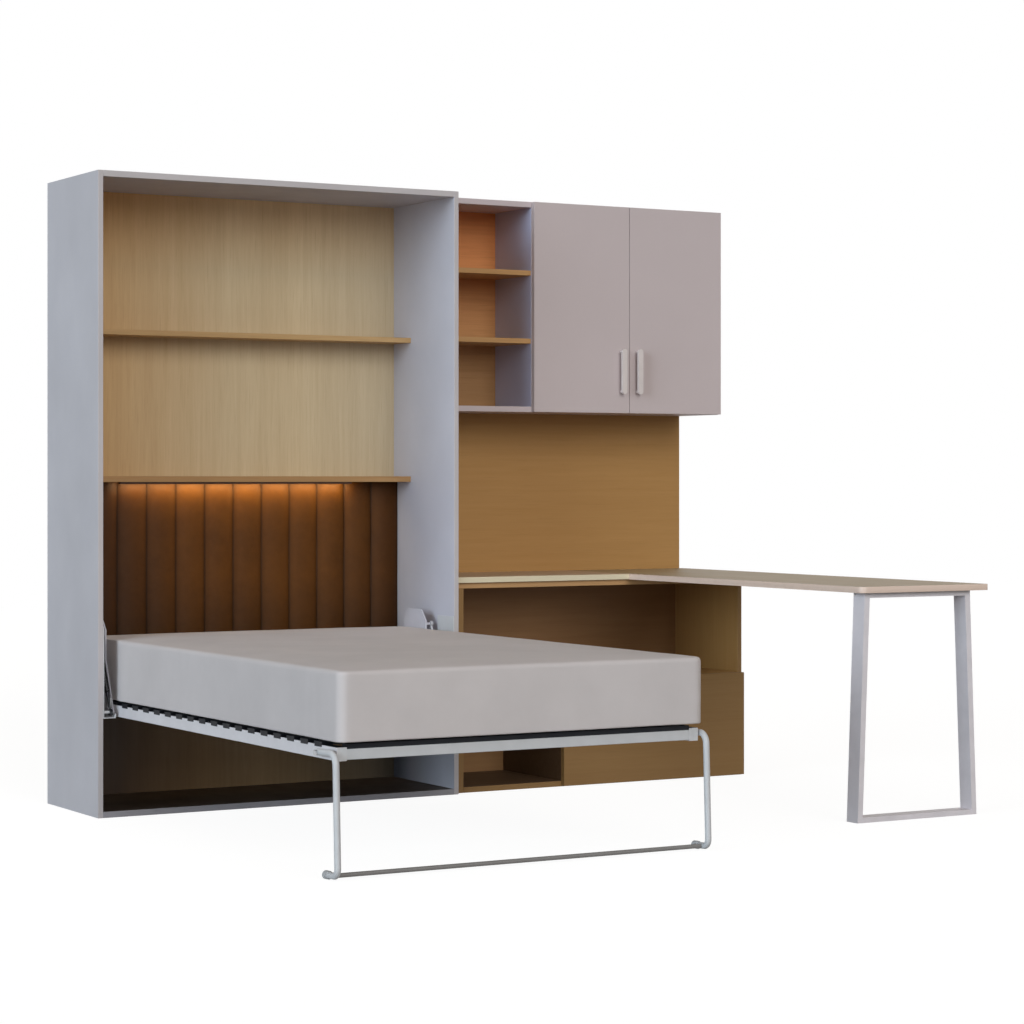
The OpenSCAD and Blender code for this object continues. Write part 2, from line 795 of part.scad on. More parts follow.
module strut_cylinder(right) {
    color("#151517") place() bed_side(right) at_strut() difference() {
        union() {
            translate([0, 0, strut_low]) cylinder(h = strut_len - strut_low - strut_neck, r = strut_r);
            translate([0, 0, strut_len - strut_neck - 1])
                cylinder(h = strut_neck - eye_r + 3, r = strut_neck_r);
            translate([0, 0, strut_len]) eye();
        }
        translate([0, 0, strut_low - through])
            cylinder(h = strut_len - strut_low - rod_short + 2 * through, r = rod_r + run_gap);
        stud_hole(strut_len);
    }
}

module strut_rod_left() strut_rod(false);
module strut_rod_right() strut_rod(true);
module strut_cylinder_left() strut_cylinder(false);
module strut_cylinder_right() strut_cylinder(true);

bed_cabinet_left_side();
bed_cabinet_right_side();
bed_cabinet_top();
bed_cabinet_bottom();
bed_cabinet_back();
bed_shelf_upper();
bed_shelf_lower();
led_strip();
headboard();
pivot_brackets();
upper_left_side();
upper_divider();
upper_right_side();
upper_top();
upper_bottom();
upper_back();
niche_shelf_lower();
niche_shelf_upper();
hinge_plates();
desk_back_panel();
lower_left_side();
lower_right_side();
lower_divider();
lower_top();
lower_middle_shelf();
lower_bottom();
lower_back();
drawer_rails_fixed();
desk_top_wall();
desk_top_leaf();
desk_leg();
bed_rail_left();
bed_rail_right();
bed_rail_foot();
bed_rail_head();
bed_centre_beam();
rail_end_plugs();
bed_gusset_left();
bed_gusset_right();
slats();
slat_holders();
leg_pivot_bolts();
mattress();
support_leg_left();
support_leg_right();
support_leg_crossbar();
support_leg_caps();
strut_rod_left();
strut_cylinder_left();
strut_rod_right();
strut_cylinder_right();
door_left();
door_right();
handle_left();
handle_right();
hinge_cups_left();
hinge_cups_right();
drawer_front();
drawer_box();
drawer_rails_moving();
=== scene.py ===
"""Wall bed with a wall unit and an L-shaped desk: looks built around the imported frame."""

import json
import math

import bmesh
import bpy
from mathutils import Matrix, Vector, noise


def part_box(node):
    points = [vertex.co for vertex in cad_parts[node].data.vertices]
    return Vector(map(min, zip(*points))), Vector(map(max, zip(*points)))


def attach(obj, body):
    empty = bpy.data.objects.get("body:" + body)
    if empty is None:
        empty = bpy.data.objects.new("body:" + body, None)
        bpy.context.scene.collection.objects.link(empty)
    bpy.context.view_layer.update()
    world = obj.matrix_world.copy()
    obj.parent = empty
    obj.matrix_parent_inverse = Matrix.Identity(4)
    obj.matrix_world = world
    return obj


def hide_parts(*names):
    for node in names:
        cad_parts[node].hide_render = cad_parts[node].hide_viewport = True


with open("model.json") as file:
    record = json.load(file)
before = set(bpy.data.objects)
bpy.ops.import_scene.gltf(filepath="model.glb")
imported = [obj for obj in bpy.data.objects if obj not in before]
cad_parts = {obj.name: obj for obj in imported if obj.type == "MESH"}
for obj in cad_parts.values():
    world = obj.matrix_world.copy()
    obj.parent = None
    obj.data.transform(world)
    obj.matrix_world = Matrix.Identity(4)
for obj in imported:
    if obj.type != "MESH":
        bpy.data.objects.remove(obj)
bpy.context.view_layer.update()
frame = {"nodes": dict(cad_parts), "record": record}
NODES = frame["nodes"]
BODY_OF = {node: body for body, members in frame["record"]["behaviour"]["bodies"].items()
           for node in members}


# ---------------------------------------------------------------- colour

def lin(r, g, b):
    """Linear colour from an 8-bit screen colour."""
    out = []
    for v in (r, g, b):
        c = v / 255.0
        out.append(c / 12.92 if c <= 0.04045 else ((c + 0.055) / 1.055) ** 2.4)
    return (*out, 1.0)


def shade(colour, k):
    """The colour multiplied by k."""
    return (*(min(c * k, 1) for c in colour[:3]), 1.0)


# ---------------------------------------------------------------- node helpers

# sockets of a colour mix, which have the same names as those of its other types
MIX_FACTOR, MIX_A, MIX_B, MIX_RESULT = 0, 6, 7, 2


class Tree:
    """A small builder for one material's nodes."""

    def __init__(self, name):
        self.material = bpy.data.materials.new(name)
        self.material.use_nodes = True
        self.nodes = self.material.node_tree.nodes
        self.links = self.material.node_tree.links
        self.shader = self.nodes["Principled BSDF"]
        self.coords = self.nodes.new("ShaderNodeTexCoord").outputs["Object"]

    def put(self, socket, value):
        """Links a socket to another, or sets it to a plain value."""
        if isinstance(value, bpy.types.NodeSocket):
            self.links.new(value, socket)
        else:
            socket.default_value = value

    def new(self, kind, inputs, **settings):
        """A new node with its settings, then its inputs by name or number."""
        node = self.nodes.new("ShaderNode" + kind)
        for name, value in settings.items():
            setattr(node, name, value)
        for name, value in inputs.items():
            self.put(node.inputs[name], value)
        return node

    def scaled(self, scale, offset=(0, 0, 0)):
        inputs = {"Scale": scale, "Location": offset, "Vector": self.coords}
        return self.new("Mapping", inputs).outputs["Vector"]

    def noise(self, vector, scale=1.0, detail=4.0, rough=0.55, distortion=0.0):
        inputs = {"Vector": vector, "Scale": scale, "Detail": detail,
                  "Roughness": rough, "Distortion": distortion}
        return self.new("TexNoise", inputs).outputs["Fac"]

    def cells(self, vector, scale):
        """The distance to the edge of the nearest cell."""
        inputs = {"Vector": vector, "Scale": scale}
        return self.new("TexVoronoi", inputs, feature="DISTANCE_TO_EDGE").outputs["Distance"]

    def wave(self, scale, direction):
        inputs = {"Vector": self.coords, "Scale": scale}
        return self.new("TexWave", inputs, bands_direction=direction).outputs["Fac"]

    def mix(self, factor, a, b, blend="MIX"):
        inputs = {MIX_FACTOR: factor, MIX_A: a, MIX_B: b}
        return self.new("Mix", inputs, data_type="RGBA", blend_type=blend).outputs[MIX_RESULT]

    def math(self, operation, a, b):
        return self.new("Math", {0: a, 1: b}, operation=operation).outputs[0]

    def span(self, value, low, high, to_low=0.0, to_high=1.0):
        """The value's place between low and high, held at both ends."""
        inputs = {"Value": value, "From Min": low, "From Max": high,
                  "To Min": to_low, "To Max": to_high}
        return self.new("MapRange", inputs).outputs["Result"]

    def axis(self, name):
        return self.new("SeparateXYZ", {0: self.coords}).outputs[name]

    def near(self, y, z, reach):
        """1 within reach of the line along X through (y, z), 0 outside."""
        inputs = {0: self.scaled((0, 1, 1)), 1: (0, y, z)}
        distance = self.new("VectorMath", inputs, operation="DISTANCE").outputs["Value"]
        return self.span(distance, reach - 0.001, reach, 1.0, 0.0)

    def underside(self):
        """1 on faces that look down."""
        normal = self.new("TexCoord", {}).outputs["Normal"]
        return self.math("LESS_THAN", self.new("SeparateXYZ", {0: normal}).outputs["Z"], -0.5)

    def with_painted_light(self, base, painted_light):
        """Each painted light or shade (axis, start, end, tint) multiplies the colour by its tint,
        fully at end.
        A further (axis, start, end) keeps it to where that span is reached too."""
        for axis, start, end, tint, *within in painted_light:
            share = self.span(self.axis(axis), start, end)
            for other, other_start, other_end in within:
                share = self.math("MULTIPLY", share,
                                  self.span(self.axis(other), other_start, other_end))
            base = self.mix(share, base, (*tint, 1), "MULTIPLY")
        return base

    def bump(self, height, strength, distance, under=None):
        inputs = {"Strength": strength, "Distance": distance, "Height": height}
        if under is not None:
            inputs["Normal"] = under
        return self.new("Bump", inputs).outputs["Normal"]

    def finish(self, colour, rough, normal=None, **plain):
        """Fills the shader's sockets: plain names those that are the same all over."""
        self.put(self.shader.inputs["Base Color"], colour)
        self.put(self.shader.inputs["Roughness"], rough)
        if normal is not None:
            self.put(self.shader.inputs["Normal"], normal)
        for name, value in plain.items():
            self.shader.inputs[name.replace("_", " ")].default_value = value
        return self.material


# ---------------------------------------------------------------- kinds of material

# Colours are 8-bit screen colours, and depths are metres.
GRAIN_FAST = {"X": (1, 26, 26), "Y": (26, 1, 26), "Z": (26, 26, 1)}
GRAIN_PORE = {"X": (9, 420, 420), "Y": (420, 9, 420), "Z": (420, 420, 9)}
GRAIN_TONE = {"X": (0.3, 13, 13), "Y": (13, 0.3, 13), "Z": (13, 13, 0.3)}
PORE_DEPTH = 0.00012
PEEL_DEPTH = 0.00006
BRUSH_DEPTH = 0.00004
ERODED_DEPTH = 0.00008
FOLD_DEPTH = 0.0006
PEBBLE_DEPTH = 0.00025
WEAVE_DEPTH = 0.0004
RIPPLE_DEPTH = 0.0012
# a wave repeats every 0.314 m divided by its scale: 1 mm for the weave
WEAVE_SCALE = 312.5
# the dark painted shade line along a seam reaches this share of a channel's width to each side
SEAM_REACH = 0.055


def wood(name, tones, along="Z", contrast=1.0, rough=0.5, painted_light=()):
    """Straight-grained veneer: broad tone bands, fine streaks and short pores along one axis.
    The three tones are its light, its dark and its pores."""
    light, dark, pore = (lin(*tone) for tone in tones)
    t = Tree(name)
    wander = t.noise(t.coords, 1.7, 2, 0.5)
    tone = t.noise(t.scaled(GRAIN_TONE[along]), 1.0, 2, 0.5, 0.6)
    streak = t.noise(t.scaled(GRAIN_FAST[along]), 2.4, 6, 0.62, 0.35)
    fine = t.noise(t.scaled(GRAIN_FAST[along], (3.1, 1.7, 5.3)), 9.0, 4, 0.6)
    pores = t.noise(t.scaled(GRAIN_PORE[along]), 1.0, 2, 0.5)
    half = 0.22 / contrast
    base = t.mix(t.span(streak, 0.5 - half, 0.5 + half), dark, light)
    base = t.mix(t.span(tone, 0.35, 0.65, 0.0, 0.55 * contrast), base, shade(dark, 0.94))
    base = t.mix(t.span(fine, 0.38, 0.62, 0.0, 0.22 * contrast), base, shade(light, 1.08))
    holes = t.span(pores, 0.60, 0.72)
    base = t.mix(t.math("MULTIPLY", holes, 0.42 * contrast), base, pore)
    base = t.mix(t.span(wander, 0.3, 0.7, 0.0, 0.10), base, shade(light, 0.82))
    base = t.with_painted_light(base, painted_light)
    height = t.math("ADD", t.math("MULTIPLY", streak, 0.35), t.math("MULTIPLY", holes, -0.8))
    roughness = t.span(streak, 0.3, 0.7, rough + 0.06, rough - 0.05)
    return t.finish(base, roughness, t.bump(height, 0.5, PORE_DEPTH), Specular_IOR_Level=0.4)


def laminate(name, colour, rough=0.5, mottle=0.05, pearl=0.00005, painted_light=()):
    """Board laminate: faint mottling, a fine pearl texture, rubbed spots."""
    colour = lin(*colour)
    t = Tree(name)
    cloud = t.noise(t.coords, 3.2, 3, 0.5)
    grain = t.noise(t.coords, 900, 2, 0.6)
    speck = t.noise(t.coords, 140, 3, 0.6)
    base = t.mix(t.span(cloud, 0.3, 0.7), shade(colour, 1 - mottle), shade(colour, 1 + mottle))
    base = t.mix(t.span(speck, 0.35, 0.65, 0.0, 0.10), base, shade(colour, 0.9))
    base = t.with_painted_light(base, painted_light)
    rubbed = t.noise(t.scaled((1, 1, 0.4)), 11, 4, 0.6)
    roughness = t.span(rubbed, 0.3, 0.7, rough - 0.05, rough + 0.07)
    return t.finish(base, roughness, t.bump(grain, 0.35, pearl), Specular_IOR_Level=0.4)


def leather(name, colour, dark, seam_x, pitch, painted_light=()):
    """Soft brown leather: pebbled grain, cloudy tone, polished high spots, painted shade along the
    upright seams.
    """
    colour, dark = lin(*colour), lin(*dark)
    t = Tree(name)
    warp = t.mix(0.02, t.coords, t.noise(t.coords, 60, 2), "ADD")
    pebble = t.cells(warp, 420)
    broad = t.cells(warp, 150)
    cloud = t.noise(t.coords, 6, 4, 0.6)
    patch = t.noise(t.coords, 38, 3, 0.6)
    crack = t.span(pebble, 0.0, 0.12)
    base = t.mix(t.span(cloud, 0.3, 0.7), dark, colour)
    base = t.mix(t.span(patch, 0.4, 0.75, 0.0, 0.22), base, shade(colour, 1.25))
    base = t.mix(t.span(pebble, 0.0, 0.10, 0.35, 0.0), base, shade(dark, 0.6))
    phase = t.math("DIVIDE", t.math("SUBTRACT", t.axis("X"), seam_x), pitch)
    phase = t.math("FRACT", phase, 0.0)
    beside = t.math("MINIMUM", phase, t.math("SUBTRACT", 1.0, phase))
    # painted shade in the creases at the seams: a soft wide band, then a narrow dark line
    base = t.mix(t.span(beside, 0.0, SEAM_REACH * 3, 0.3, 0.0), base, shade(dark, 0.5))
    base = t.mix(t.span(beside, 0.0, SEAM_REACH, 0.75, 0.0), base, shade(dark, 0.25))
    base = t.with_painted_light(base, painted_light)
    fold = t.noise(t.scaled((14, 14, 3)), 2.0, 3, 0.55, 0.4)
    grain = t.math("ADD", crack, t.span(broad, 0.0, 0.2))
    normal = t.bump(grain, 0.4, PEBBLE_DEPTH, t.bump(fold, 0.25, FOLD_DEPTH))
    roughness = t.span(patch, 0.3, 0.7, 0.52, 0.42)
    return t.finish(base, roughness, normal, Specular_IOR_Level=0.14)


def knit(name, colour, sheen):
    """Mattress ticking: a fine woven cell, soft cloudiness and a little fuzz."""
    colour = lin(*colour)
    t = Tree(name)
    u, v, w = (t.wave(WEAVE_SCALE, axis) for axis in "XYZ")
    cell = t.math("MULTIPLY", t.math("ADD", u, v), t.math("ADD", w, 0.6))
    fuzz = t.noise(t.coords, 700, 3, 0.7)
    cloud = t.noise(t.coords, 4.5, 4, 0.55)
    base = t.mix(t.span(cloud, 0.3, 0.7), shade(colour, 0.95), shade(colour, 1.04))
    base = t.mix(t.span(cell, 0.2, 2.6, 0.12, 0.0), base, shade(colour, 0.72))
    base = t.mix(t.span(fuzz, 0.35, 0.7, 0.0, 0.10), base, shade(colour, 1.15))
    ripple = t.bump(t.noise(t.coords, 9, 3, 0.5), 0.25, RIPPLE_DEPTH)
    weave = t.math("ADD", t.math("MULTIPLY", cell, 0.4), fuzz)
    return t.finish(base, 0.9, t.bump(weave, 0.4, WEAVE_DEPTH, ripple),
                    Specular_IOR_Level=0.2, Sheen_Weight=sheen, Sheen_Roughness=0.5)


def paint(name, colour, rough=0.4, gloss=0.5, end=None):
    """Powder paint on steel: orange peel, slightly uneven gloss, a few dull rubs.
    end = (colour, y, z, reach) paints the piece another colour round one line along X."""
    colour = lin(*colour)
    t = Tree(name)
    skin = t.noise(t.coords, 520, 3, 0.55)
    cloud = t.noise(t.coords, 14, 4, 0.6)
    rub = t.noise(t.scaled((1, 3, 1)), 55, 4, 0.65)
    base = t.mix(t.span(cloud, 0.3, 0.7), shade(colour, 0.95), shade(colour, 1.04))
    base = t.mix(t.span(rub, 0.62, 0.75, 0.0, 0.18), base, shade(colour, 0.75))
    if end:
        base = t.mix(t.near(*end[1:]), base, lin(*end[0]))
    roughness = t.span(rub, 0.35, 0.75, rough, rough + 0.16)
    return t.finish(base, roughness, t.bump(skin, 0.3, PEEL_DEPTH), Specular_IOR_Level=gloss)


def bare_metal(name, colour, rough, brush=(4, 60, 60)):
    """Plated or ground metal with fine lines in one direction."""
    colour = lin(*colour)
    t = Tree(name)
    line = t.noise(t.scaled(brush), 12, 5, 0.6)
    spot = t.noise(t.coords, 90, 4, 0.6)
    base = t.mix(t.span(line, 0.3, 0.7), shade(colour, 0.88), shade(colour, 1.06))
    base = t.mix(t.span(spot, 0.55, 0.75, 0.0, 0.25), base, shade(colour, 0.7))
    roughness = t.span(line, 0.3, 0.7, rough - 0.06, rough + 0.08)
    return t.finish(base, roughness, t.bump(line, 0.2, BRUSH_DEPTH), Metallic=1.0)


def plastic(name, colour, rough=0.5, gloss=0.5):
    """Moulded plastic: spark-eroded texture and a faint sheen variation."""
    colour = lin(*colour)
    t = Tree(name)
    erode = t.noise(t.coords, 800, 3, 0.6)
    cloud = t.noise(t.coords, 30, 3, 0.5)
    base = t.mix(t.span(cloud, 0.3, 0.7), shade(colour, 0.9), shade(colour, 1.08))
    roughness = t.span(cloud, 0.3, 0.7, rough - 0.06, rough + 0.06)
    return t.finish(base, roughness, t.bump(erode, 0.35, ERODED_DEPTH), Specular_IOR_Level=gloss)


def diffuser(name, body, cover, glow, strength):
    """A dark strip body with a milky cover below, its row of light points just showing through."""
    body, cover, glow = lin(*body), lin(*cover), lin(*glow)
    t = Tree(name)
    points = t.wave(6.0, "X")
    grain = t.noise(t.coords, 260, 3, 0.6)
    below = t.underside()
    milky = t.mix(t.span(points, 0.2, 1.0, 0.0, 0.3), cover, shade(cover, 0.85))
    lit = t.mix(t.span(points, 0.0, 1.0, 0.0, 0.35), glow, shade(glow, 1.3))
    case = t.mix(t.span(grain, 0.3, 0.7), shade(body, 0.85), shade(body, 1.15))
    t.put(t.shader.inputs["Emission Color"], t.mix(below, (0, 0, 0, 1), lit))
    return t.finish(t.mix(below, case, milky), t.span(grain, 0.3, 0.7, 0.3, 0.42),
                    Emission_Strength=strength)


# ---------------------------------------------------------------- the object's materials

CHANNELS = 12
HEADBOARD_LOW, HEADBOARD_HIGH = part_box("headboard")
CHANNEL_PITCH = (HEADBOARD_HIGH.x - HEADBOARD_LOW.x) / CHANNELS
# the struts' pale upper eye: y, z and reach
STRUT_EYE = (0.7057, 0.590, 0.036)
TAN = ((149, 114, 68), (136, 101, 58), (112, 80, 45))

# the oak back's painted light and shade: warmer painted shade to the left, warmer painted light at
# the top, painted shade at the right, dark painted shade under the bed
OAK_PAINTED_LIGHT_AND_SHADE = (
    ("X", -0.62, -1.20, (0.80, 0.58, 0.34)),
    ("X", -0.36, 0.0, (0.83, 0.85, 0.90)),
    ("Z", 1.83, 2.08, (1.42, 1.25, 1.08)),
    ("Z", 0.50, 0.12, (0.66, 0.56, 0.46)),
    ("X", -0.70, -1.04, (0.15, 0.14, 0.16), ("Z", 0.42, 0.32)),
    ("X", -0.50, 0.0, (0.20, 0.22, 0.25), ("Z", 0.36, 0.30)),
)
# the cabinet's right side: dark painted shade at the back, under the bed
INNER_PAINTED_SHADE = (("Y", 0.66, 1.0, (0.12, 0.13, 0.15), ("Z", 0.36, 0.30)),)
# the niches' back: redder painted warm light at the top, darker painted shade at the bottom
NICHE_PAINTED_LIGHT_AND_SHADE = (
    ("Z", 1.60, 2.08, (1.50, 1.05, 0.80)),
    ("Z", 1.60, 1.42, (0.66, 0.68, 0.68)),
)
# the headboard: painted shade, darker to both sides and behind the mattress
LEATHER_PAINTED_SHADE = (
    ("X", -0.80, -1.12, (0.42, 0.38, 0.35)),
    ("X", -0.26, 0.0, (0.60, 0.58, 0.62)),
    ("Z", 0.76, 0.60, (0.70, 0.70, 0.74)),
)

M = {
    "carcass_lilac": laminate("lilac_laminate", (188, 185, 191)),
    # the right side: a lighter, cooler copy of the lilac laminate (painted light), with painted
    # shade at its back
    "lilac_inner_painted_light_and_shade": laminate("lilac_laminate_inner_painted_light_and_shade", (199, 198, 209), painted_light=INNER_PAINTED_SHADE),
    # the bottom board's edge: a darker copy of the lilac edge, painted shade under the bed
    "bottom_edge_painted_shade": laminate("lilac_edge_bottom_painted_shade", (155, 152, 158), 0.45),
    "lilac_edge": laminate("lilac_edge_band", (194, 187, 189), 0.45),
    "carcass_rose": laminate("rose_laminate", (199, 185, 188)),
    "door_lacquer": laminate("door_lacquer_skin", (199, 185, 186), 0.42, 0.02, 0.00003),
    "handle_lacquer": paint("handle_paint", (221, 210, 208), 0.45, 0.25),
    "oak_z": wood("oak_upright", ((216, 196, 161), (194, 170, 132), (160, 130, 92)),
                  "Z", 0.6, painted_light=OAK_PAINTED_LIGHT_AND_SHADE),
    "oak_x": wood("oak_level", ((200, 164, 113), (174, 135, 88), (127, 92, 55)), "X", 0.7),
    # the lower shelf's edge: a darker copy of the shelves' oak, painted shade
    "oak_edge": wood("lower_shelf_edge_painted_shade", ((178, 138, 90), (155, 114, 70), (113, 77, 44)),
                     "X", 0.6),
    # the niches' oak: a redder copy of the back's oak, painted warm bounced light
    "niche_back_painted_light_and_shade": wood("oak_niche", ((200, 148, 95), (174, 123, 75), (130, 87, 50)),
                       "X", 0.6, painted_light=NICHE_PAINTED_LIGHT_AND_SHADE),
    # the divider's faces: a cooler copy of the rose laminate, painted cool light
    "niche_side": laminate("divider_laminate_painted_cool_light", (192, 196, 224)),
    "niche_x": wood("oak_niche_level", ((200, 154, 100), (176, 131, 81), (131, 92, 53)),
                    "X", 0.7),
    "tan_x": wood("tan_laminate", TAN, "X", 0.45, 0.55),
    # the back panel and the nook's floor: a lighter copy of the tan laminate, painted light
    "tan_panel_painted_light": wood("tan_laminate_panel_painted_light", ((181, 137, 80), (166, 122, 68), (138, 98, 54)),
                      "X", 0.45, 0.55),
    "tan_z": wood("tan_laminate_upright", TAN, "Z", 0.45, 0.55),
    # the nook's right side: a lighter copy of the tan laminate, painted light
    "tan_upright_painted_light": wood("tan_laminate_side_painted_light", ((173, 132, 79), (158, 117, 67), (130, 93, 52)),
                        "Z", 0.45, 0.55),
    "tan_back": wood("tan_laminate_back", ((142, 104, 64), (127, 90, 53), (100, 68, 39)),
                     "X", 0.45, 0.55),
    "tan_edge": wood("tan_edge_band", ((196, 152, 104), (180, 137, 91), (150, 110, 70)),
                     "X", 0.4, 0.5),
    # the lower divider and bottom: a dark copy of the tan laminate, painted shade
    "tan_shaded": wood("tan_laminate_painted_shade", ((88, 64, 42), (76, 54, 34), (58, 40, 25)),
                       "X", 0.45, 0.55),
    # the bed cabinet's bottom board: a dark brown sheet, painted shade under the bed
    "bottom_board_painted_shade": laminate("bottom_board_laminate_painted_shade", (58, 45, 35), 0.55, 0.06),
    "pale_x": wood("pale_oak_cross", ((190, 163, 134), (176, 148, 121), (146, 117, 92)),
                   "X", 0.5, 0.5),
    "pale_y": wood("pale_oak_along", ((161, 140, 105), (150, 128, 95), (126, 104, 75)),
                   "Y", 0.5, 0.5),
    "band": wood("edge_band", ((236, 212, 198), (222, 196, 180), (196, 170, 150)),
                 "X", 0.4, 0.45),
    "beige_band": wood("beige_edge_band", ((232, 220, 192), (218, 204, 174), (196, 180, 148)),
                       "X", 0.4, 0.45),
    # the slats: dark wood, painted shade for the gap under the mattress
    "charcoal": wood("slat_wood_painted_shade", ((50, 50, 54), (40, 40, 44), (28, 28, 31)),
                     "X", 0.5, 0.55),
    "desk_steel": paint("desk_steel_paint", (225, 218, 223)),
    "white_steel": paint("white_steel_paint", (203, 203, 206), 0.42),
    # the side rails: a lighter copy of the white steel paint, painted light
    "side_rail_painted_light": paint("side_rail_paint_painted_light", (218, 214, 218), 0.42),
    "plate_steel": paint("plate_paint", (200, 199, 209), 0.5, 0.3),
    "grey_steel": paint("grey_steel_paint", (128, 124, 122), 0.42),
    "zinc": bare_metal("zinc_plate", (186, 188, 192), 0.34),
    "strut_chrome": bare_metal("nitrided_rod", (62, 63, 66), 0.3, (60, 60, 4)),
    "cap_rubber": plastic("cap_rubber_skin", (186, 186, 188), 0.7),
    "white_plastic": plastic("white_plastic_skin", (203, 203, 206)),
    "black_plastic": plastic("black_plastic_skin", (20, 22, 28), 0.6, 0.2),
    "black_paint": paint("black_gloss", (24, 24, 26), 0.22, end=((176, 175, 180), *STRUT_EYE)),
    "brown_leather": leather("brown_leather_hide", (97, 57, 13), (82, 47, 9),
                             HEADBOARD_LOW.x, CHANNEL_PITCH, LEATHER_PAINTED_SHADE),
    "mattress_fabric": knit("ticking", (213, 205, 205), 0.08),
    "led_diffuser": diffuser("strip_cover", (86, 50, 24), (240, 226, 205), (255, 190, 120), 2.6),
}

# node: (material, radius of its eased edges, edge material or None)
BOARDS = {
    "bed_cabinet_left_side": ("carcass_lilac", 0.0010, "lilac_edge"),
    "bed_cabinet_right_side": ("lilac_inner_painted_light_and_shade", 0.0010, "lilac_edge"),
    "bed_cabinet_top": ("carcass_lilac", 0.0010, "lilac_edge"),
    "bed_cabinet_bottom": ("bottom_board_painted_shade", 0.0010, "bottom_edge_painted_shade"),
    "bed_cabinet_back": ("oak_z", 0.0006, None),
    "bed_shelf_upper": ("oak_x", 0.0010, None),
    "bed_shelf_lower": ("oak_x", 0.0010, "oak_edge"),
    "upper_left_side": ("carcass_rose", 0.0010, None),
    "upper_divider": ("niche_side", 0.0010, "carcass_rose"),
    "upper_right_side": ("carcass_rose", 0.0010, None),
    "upper_top": ("carcass_rose", 0.0010, None),
    "upper_bottom": ("carcass_rose", 0.0010, None),
    "upper_back": ("niche_back_painted_light_and_shade", 0.0006, None),
    "niche_shelf_lower": ("niche_x", 0.0010, None),
    "niche_shelf_upper": ("niche_x", 0.0010, None),
    "desk_back_panel": ("tan_panel_painted_light", 0.0010, None),
    "lower_left_side": ("tan_z", 0.0010, None),
    "lower_right_side": ("tan_upright_painted_light", 0.0010, "tan_z"),
    "lower_divider": ("tan_shaded", 0.0010, "tan_z"),
    "lower_top": ("tan_x", 0.0010, "tan_edge"),
    "lower_middle_shelf": ("tan_panel_painted_light", 0.0010, "tan_x"),
    "lower_bottom": ("tan_shaded", 0.0010, "tan_x"),
    "lower_back": ("tan_back", 0.0006, None),
    "drawer_front": ("tan_x", 0.0012, None),
    "desk_top_wall": ("pale_x", 0.0012, "beige_band"),
    "desk_top_leaf": ("pale_y", 0.0012, "band"),
    "door_left": ("door_lacquer", 0.0014, None),
    "door_right": ("door_lacquer", 0.0014, None),
    "handle_left": ("handle_lacquer", 0.0030, None),
    "handle_right": ("handle_lacquer", 0.0030, None),
    "bed_rail_left": ("side_rail_painted_light", 0.0020, None),
    "bed_rail_right": ("side_rail_painted_light", 0.0020, None),
    "bed_rail_foot": ("white_steel", 0.0020, None),
    "bed_rail_head": ("white_steel", 0.0020, None),
    "bed_centre_beam": ("white_steel", 0.0015, None),
}
# rails with a dark strip on top, under the slats: painted shade for the gap under the mattress
SHADE_STRIP_RAILS = ("bed_rail_left", "bed_rail_right", "bed_rail_foot", "bed_centre_beam")
# the painted-shade strip that stands up to the mattress, and the room it leaves there
TALL_SHADE_STRIP = "bed_rail_foot"
SHADE_STRIP_GAP = 0.0004
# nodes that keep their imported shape, and get another material than their slot's own
PLAIN = {
    "slats": "charcoal", "drawer_box": "pale_x",
    "bed_gusset_left": "plate_steel", "bed_gusset_right": "plate_steel",
}


# ---------------------------------------------------------------- boards and rails

MERGE_DISTANCE = 1e-5
SHARP_ANGLE = math.radians(40)
CURVED_ANGLE = math.radians(0.5)


def new_object(name, data):
    obj = bpy.data.objects.new(name, data)
    bpy.context.scene.collection.objects.link(obj)
    return obj


def slot_of(node):
    """The record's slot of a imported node, from its first material."""
    return NODES[node].data.materials[0].name.split(".")[0]


def new_verts(result):
    """The points that a bmesh operation made."""
    return [g for g in result["geom"] if isinstance(g, bmesh.types.BMVert)]


def ease_edges(bm, radius):
    """Rounds the sharp edges, and smooths the faces that are part of a curve."""
    sharp = []
    for face in bm.faces:
        face.smooth = False
        face.material_index = 0
    for edge in bm.edges:
        if len(edge.link_faces) != 2:
            continue
        angle = edge.calc_face_angle(0.0)
        if angle > SHARP_ANGLE:
            sharp.append(edge)
        elif angle > CURVED_ANGLE:
            for face in edge.link_faces:
                face.smooth = True
    done = bmesh.ops.bevel(bm, geom=sharp, offset=radius, offset_type="OFFSET", segments=2,
                           profile=0.5, affect="EDGES", clamp_overlap=True)
    for face in done["faces"]:
        face.smooth = True


def shade_strip_faces(bm, node, top, radius):
    """The faces of the dark strip on top of a rail: painted shade for the gap under the mattress.
    """
    faces = [face for face in bm.faces
             if face.normal.z > 0.9 and face.calc_center_median().z > top - radius]
    if node == TALL_SHADE_STRIP:
        raised = bmesh.ops.extrude_face_region(bm, geom=faces)
        bmesh.ops.delete(bm, geom=faces, context="FACES_ONLY")
        for v in new_verts(raised):
            v.co.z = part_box("mattress")[0].z - SHADE_STRIP_GAP
        faces = [face for face in bm.faces
                 if any(v.co.z > top + SHADE_STRIP_GAP for v in face.verts)]
        for face in faces:
            face.smooth = False
    return faces


